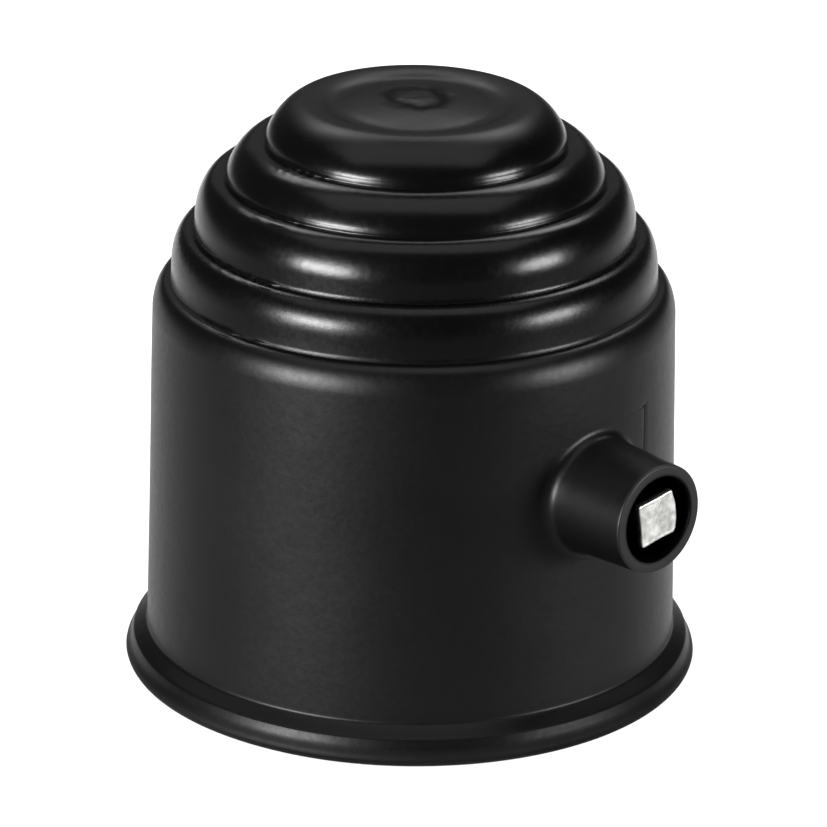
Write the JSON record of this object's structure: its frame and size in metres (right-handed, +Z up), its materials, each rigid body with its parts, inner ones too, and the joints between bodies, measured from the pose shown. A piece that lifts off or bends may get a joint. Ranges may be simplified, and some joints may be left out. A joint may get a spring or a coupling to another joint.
{
  "type": "lockable tow ball cover",
  "caption": "Moulded cap with a stepped dome that covers a tow ball and is held by a lock screw turned with a square socket key in its side boss.",
  "frame": {"origin": "centre of the flat rim that the cap stands on, on the axis of the ball socket", "axes": "+Z up the socket axis to the dome, +X out along the lock screw's axis, +Y completes the right-handed frame; the boss is symmetrical about the XZ plane"},
  "size_m": [0.0707, 0.0642, 0.0659],
  "materials": {
    "shell_rubber": "satin",
    "insert_brass": "satin",
    "screw_alloy": "satin",
    "patch_nylon": "matte",
    "pad_nylon": "satin",
    "ring_steel": "satin"
  },
  "bodies": {
    "cover": {"cover_shell": "shell_rubber", "threaded_insert": "insert_brass"},
    "pad": {"thrust_pad": "pad_nylon", "pad_retaining_ring": "ring_steel"},
    "screw": {"lock_screw": "screw_alloy", "thread_lock_patch": "patch_nylon"}
  },
  "joints": [
    {"name": "pad_slide", "type": "slide", "parent": "cover", "child": "pad", "axis": [-1, 0, 0], "range_m": [0, 0.0025]},
    {"name": "screw_turn", "type": "hinge", "parent": "pad", "child": "screw", "pos_m": [0.03, 0, 0.028], "axis": [-1, 0, 0], "range_deg": [0, 720]}
  ],
  "couplings": [
    {"joint": "screw_turn", "follows": "pad_slide", "rad_per_m": 5026.5}
  ]
}
